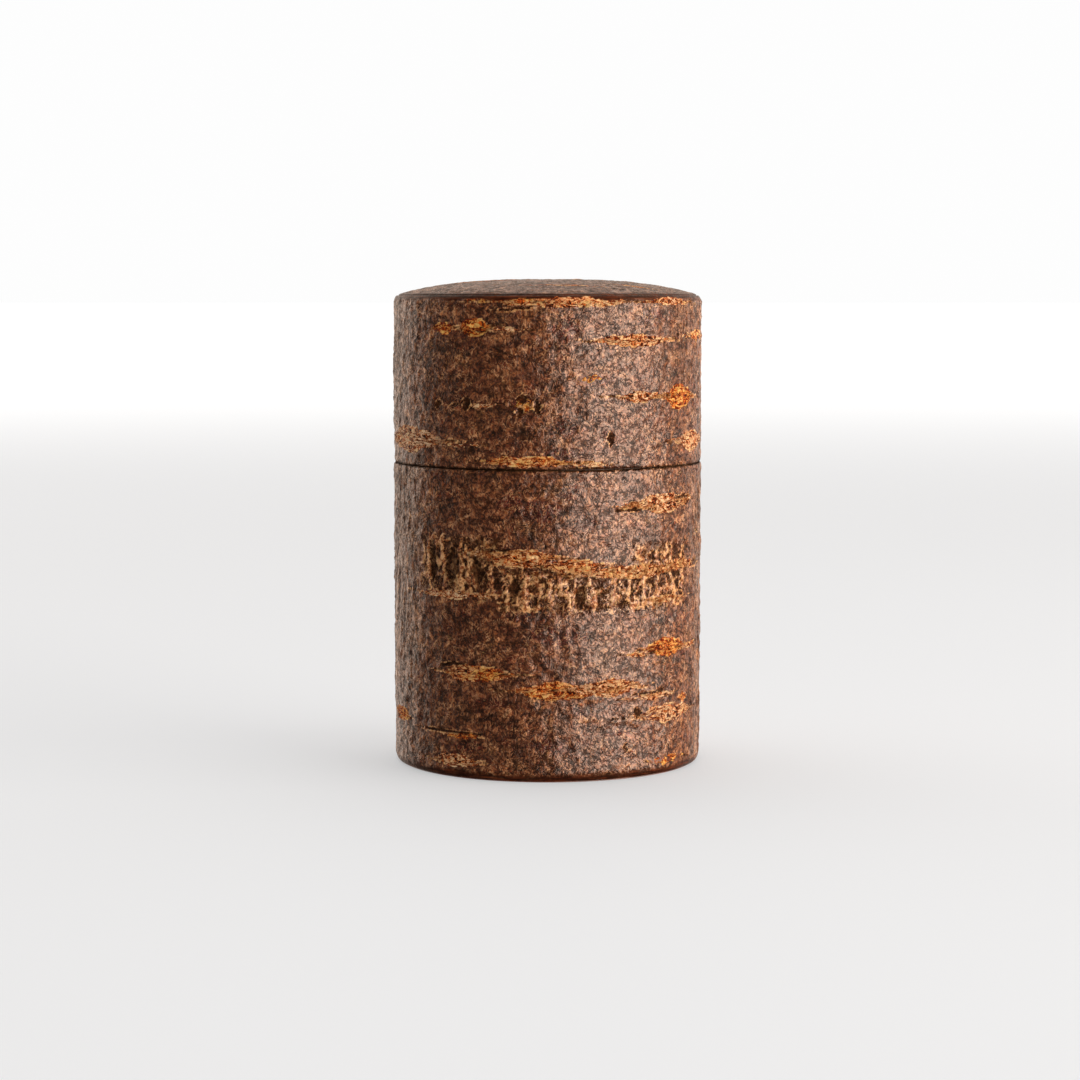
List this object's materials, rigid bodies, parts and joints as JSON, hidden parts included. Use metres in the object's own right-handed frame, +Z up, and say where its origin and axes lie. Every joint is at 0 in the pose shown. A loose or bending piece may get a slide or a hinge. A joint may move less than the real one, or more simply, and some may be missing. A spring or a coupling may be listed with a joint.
{
  "type": "tea caddy",
  "caption": "Cylindrical tea caddy in rough cherry bark over veneer, with a domed lift-off lid, a raised neck and a knobbed inner lid.",
  "frame": {"origin": "middle of the base, on the surface that the caddy stands on", "axes": "+Z up along the caddy's axis; -Y is the front, and +Y the back, where the bark sheets meet"},
  "size_m": [0.076, 0.076, 0.1194],
  "materials": {
    "rough_bark": "satin",
    "smooth_bark": "gloss",
    "veneer": "matte",
    "board": "matte",
    "cherry_wood": "satin"
  },
  "bodies": {
    "body": {"base_bark": "smooth_bark", "base_board": "board", "body_rough_bark": "rough_bark", "body_outer_veneer": "veneer", "body_inner_veneer": "veneer", "body_shell_lining": "smooth_bark", "neck_bark": "smooth_bark", "tube_veneer": "veneer", "well_lining_bark": "smooth_bark", "well_floor_bark": "smooth_bark"},
    "inner_lid": {"inner_lid_board": "cherry_wood", "inner_lid_face_bark": "smooth_bark", "inner_lid_edge_bark": "smooth_bark", "inner_lid_under_bark": "smooth_bark", "inner_lid_knob": "cherry_wood"},
    "lid": {"lid_rough_bark": "rough_bark", "lid_outer_veneer": "veneer", "lid_inner_veneer": "veneer", "lid_lining_bark": "smooth_bark", "lid_top_board": "board", "lid_top_bark": "rough_bark", "lid_ceiling_bark": "smooth_bark"}
  },
  "joints": [
    {"name": "inner_lid_lift", "type": "slide", "parent": "body", "child": "inner_lid", "axis": [0, 0, 1], "range_m": [0, 0.06]},
    {"name": "lid_lift", "type": "slide", "parent": "inner_lid", "child": "lid", "axis": [0, 0, 1], "range_m": [0, 0.06]}
  ]
}
